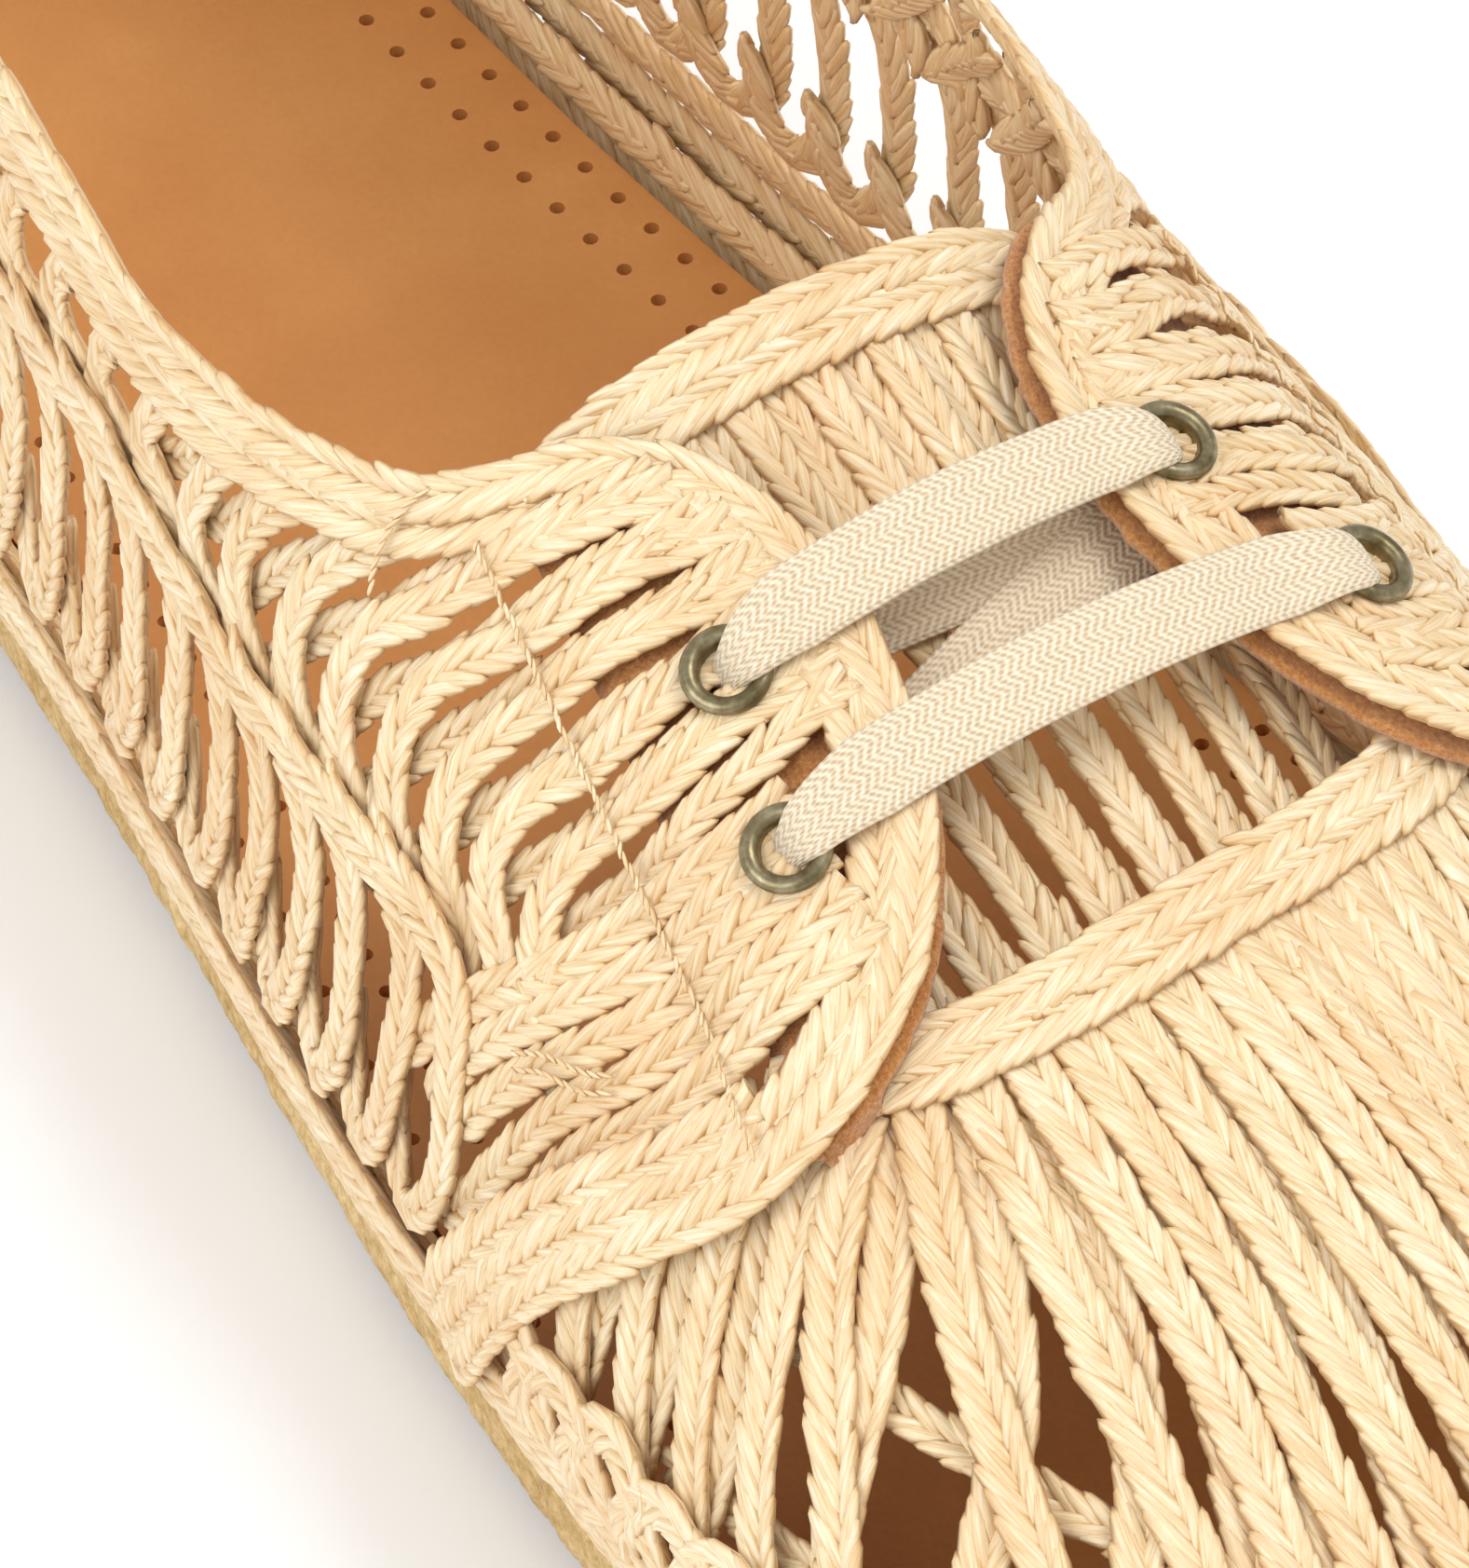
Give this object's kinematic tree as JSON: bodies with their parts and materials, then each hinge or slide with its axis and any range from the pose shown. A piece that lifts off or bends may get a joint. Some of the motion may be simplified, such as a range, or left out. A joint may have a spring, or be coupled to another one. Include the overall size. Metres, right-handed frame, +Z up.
{
  "type": "lace-up espadrille",
  "caption": "Right lace-up espadrille in plaited raffia openwork, with two pairs of eyelets, a flat tape lace, a raffia tongue and a slim jute and rubber sole.",
  "frame": {"origin": "on the ground under the middle of the shoe's length, on the line from heel to toe", "axes": "+X from heel to toe, +Y to the medial (inner) side, +Z up"},
  "size_m": [0.2824, 0.1008, 0.0743],
  "materials": {
    "raffia": "natural",
    "jute": "natural",
    "rubber": "matte",
    "insole_leather": "satin",
    "suede": "napped",
    "eyelet_brass": "antique",
    "cotton": "woven"
  },
  "bodies": {
    "root": {"outsole": "rubber", "midsole": "jute", "insole": "insole_leather", "upper": "raffia", "tongue": "raffia", "facing_lateral": "raffia", "facing_medial": "raffia", "backing_lateral": "suede", "backing_medial": "suede", "eyelet_lateral_rear": "eyelet_brass", "eyelet_lateral_front": "eyelet_brass", "eyelet_medial_rear": "eyelet_brass", "eyelet_medial_front": "eyelet_brass", "lace": "cotton"}
  },
  "joints": []
}
